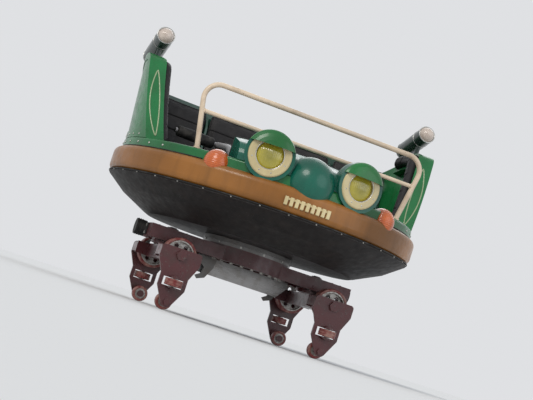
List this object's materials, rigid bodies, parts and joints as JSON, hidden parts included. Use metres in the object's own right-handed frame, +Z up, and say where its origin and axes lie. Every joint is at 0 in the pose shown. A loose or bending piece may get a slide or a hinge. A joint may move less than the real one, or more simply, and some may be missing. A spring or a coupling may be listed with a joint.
{
  "type": "spinning roller coaster car",
  "caption": "Round tub with side-by-side seats that spins on a railed chassis, with swivelling bogies that hug the track, lap bars, a guard rail and a bonnet with headlamps.",
  "frame": {"origin": "on the spin axis at the height of the floor that the up-stop wheels stand on", "axes": "+Z up; the chassis travels along +X; the riders face -Y at rest, so their left is +X"},
  "size_m": [2.2118, 2.2367, 1.8644],
  "materials": {
    "chassis_paint": "dark red-brown gloss paint on welded steel",
    "bearing_steel": "greased machined steel",
    "fin_steel": "bare ground steel",
    "dog_steel": "forged steel",
    "buffer_rubber": "black rubber",
    "wheel_tyre": "polyurethane tread on a cast hub",
    "pan_black": "black gel coat",
    "floor_metal": "bare chequered metal",
    "rim_ochre": "ochre gel coat",
    "body_green": "green gel coat",
    "bench_green": "dark green gel coat",
    "seat_leather": "black seat vinyl",
    "bonnet_teal": "teal gel coat",
    "cream_plastic": "cream gel coat",
    "lens_yellow": "yellow moulded lens",
    "lens_pale": "pale moulded lens",
    "marker_orange": "orange moulded lens",
    "lamp_dark": "dark green moulding",
    "rail_cream": "cream powder coat on steel tube",
    "bar_steel": "grey powder coat on steel tube",
    "pad_foam": "black foam sleeve"
  },
  "bodies": {
    "chassis": {"chassis_frame": "chassis_paint", "slew_ring_lower": "bearing_steel", "buffers": "buffer_rubber", "brake_fin": "fin_steel", "track_dogs": "dog_steel"},
    "bogie_lead": {"axle_beam_lead": "chassis_paint", "wheel_carrier_lead_near": "chassis_paint", "wheel_carrier_lead_far": "chassis_paint"},
    "road_wheel_lead_near": {"road_wheel_lead_near": "wheel_tyre"},
    "side_wheel_lead_near": {"side_wheel_lead_near": "wheel_tyre"},
    "upstop_wheel_lead_near": {"upstop_wheel_lead_near": "wheel_tyre"},
    "road_wheel_lead_far": {"road_wheel_lead_far": "wheel_tyre"},
    "side_wheel_lead_far": {"side_wheel_lead_far": "wheel_tyre"},
    "upstop_wheel_lead_far": {"upstop_wheel_lead_far": "wheel_tyre"},
    "bogie_trail": {"axle_beam_trail": "chassis_paint", "wheel_carrier_trail_near": "chassis_paint", "wheel_carrier_trail_far": "chassis_paint"},
    "road_wheel_trail_near": {"road_wheel_trail_near": "wheel_tyre"},
    "side_wheel_trail_near": {"side_wheel_trail_near": "wheel_tyre"},
    "upstop_wheel_trail_near": {"upstop_wheel_trail_near": "wheel_tyre"},
    "road_wheel_trail_far": {"road_wheel_trail_far": "wheel_tyre"},
    "side_wheel_trail_far": {"side_wheel_trail_far": "wheel_tyre"},
    "upstop_wheel_trail_far": {"upstop_wheel_trail_far": "wheel_tyre"},
    "gondola": {"slew_ring_upper": "bearing_steel", "underpan": "pan_black", "floor_plate": "floor_metal", "rim_band": "rim_ochre", "body_sill": "body_green", "bulkhead": "bench_green", "wing_left": "body_green", "wing_right": "body_green", "back_shell": "body_green", "rear_deck": "body_green", "seat_bench": "bench_green", "side_pad_left": "seat_leather", "side_pad_right": "seat_leather", "seat_cushions_left": "seat_leather", "seat_cushions_right": "seat_leather", "back_cushions_left": "seat_leather", "back_cushions_right": "seat_leather", "bonnet": "bonnet_teal", "headlamp_bezels": "cream_plastic", "headlamp_lenses": "lens_yellow", "headlamp_hoods": "body_green", "grille": "cream_plastic", "marker_lamps": "marker_orange", "wing_lamps": "lamp_dark", "wing_lamp_lenses": "lens_pale", "guard_rail": "rail_cream", "lap_bar_bases": "floor_metal"},
    "lap_bar_left": {"lap_bar_left": "bar_steel", "lap_bar_pads_left": "pad_foam"},
    "lap_bar_right": {"lap_bar_right": "bar_steel", "lap_bar_pads_right": "pad_foam"}
  },
  "joints": [
    {"name": "bogie_lead_swivel", "type": "hinge", "parent": "chassis", "child": "bogie_lead", "pos_m": [0.55, 0, 0.444], "axis": [0, 0, 1], "range_deg": [-15, 15]},
    {"name": "road_wheel_lead_near_spin", "type": "hinge", "parent": "bogie_lead", "child": "road_wheel_lead_near", "pos_m": [0.55, -0.45, 0.371], "axis": [0, 1, 0], "continuous": true},
    {"name": "side_wheel_lead_near_spin", "type": "hinge", "parent": "bogie_lead", "child": "side_wheel_lead_near", "pos_m": [0.55, -0.583, 0.186], "axis": [0, 0, 1], "continuous": true},
    {"name": "upstop_wheel_lead_near_spin", "type": "hinge", "parent": "bogie_lead", "child": "upstop_wheel_lead_near", "pos_m": [0.55, -0.45, 0.055], "axis": [0, 1, 0], "continuous": true},
    {"name": "road_wheel_lead_far_spin", "type": "hinge", "parent": "bogie_lead", "child": "road_wheel_lead_far", "pos_m": [0.55, 0.45, 0.371], "axis": [0, 1, 0], "continuous": true},
    {"name": "side_wheel_lead_far_spin", "type": "hinge", "parent": "bogie_lead", "child": "side_wheel_lead_far", "pos_m": [0.55, 0.583, 0.186], "axis": [0, 0, 1], "continuous": true},
    {"name": "upstop_wheel_lead_far_spin", "type": "hinge", "parent": "bogie_lead", "child": "upstop_wheel_lead_far", "pos_m": [0.55, 0.45, 0.055], "axis": [0, 1, 0], "continuous": true},
    {"name": "bogie_trail_swivel", "type": "hinge", "parent": "chassis", "child": "bogie_trail", "pos_m": [-0.55, 0, 0.444], "axis": [0, 0, 1], "range_deg": [-15, 15]},
    {"name": "road_wheel_trail_near_spin", "type": "hinge", "parent": "bogie_trail", "child": "road_wheel_trail_near", "pos_m": [-0.55, -0.45, 0.371], "axis": [0, 1, 0], "continuous": true},
    {"name": "side_wheel_trail_near_spin", "type": "hinge", "parent": "bogie_trail", "child": "side_wheel_trail_near", "pos_m": [-0.55, -0.583, 0.186], "axis": [0, 0, 1], "continuous": true},
    {"name": "upstop_wheel_trail_near_spin", "type": "hinge", "parent": "bogie_trail", "child": "upstop_wheel_trail_near", "pos_m": [-0.55, -0.45, 0.055], "axis": [0, 1, 0], "continuous": true},
    {"name": "road_wheel_trail_far_spin", "type": "hinge", "parent": "bogie_trail", "child": "road_wheel_trail_far", "pos_m": [-0.55, 0.45, 0.371], "axis": [0, 1, 0], "continuous": true},
    {"name": "side_wheel_trail_far_spin", "type": "hinge", "parent": "bogie_trail", "child": "side_wheel_trail_far", "pos_m": [-0.55, 0.583, 0.186], "axis": [0, 0, 1], "continuous": true},
    {"name": "upstop_wheel_trail_far_spin", "type": "hinge", "parent": "bogie_trail", "child": "upstop_wheel_trail_far", "pos_m": [-0.55, 0.45, 0.055], "axis": [0, 1, 0], "continuous": true},
    {"name": "gondola_spin", "type": "hinge", "parent": "chassis", "child": "gondola", "pos_m": [0, 0, 0.548], "axis": [0, 0, 1], "continuous": true},
    {"name": "lap_bar_left_swing", "type": "hinge", "parent": "gondola", "child": "lap_bar_left", "pos_m": [0.40727, -0.33532, 0.697], "axis": [0.9925, -0.1219, 0], "range_deg": [0, 45]},
    {"name": "lap_bar_right_swing", "type": "hinge", "parent": "gondola", "child": "lap_bar_right", "pos_m": [-0.40727, -0.33532, 0.697], "axis": [0.9925, 0.1219, 0], "range_deg": [0, 45]}
  ]
}
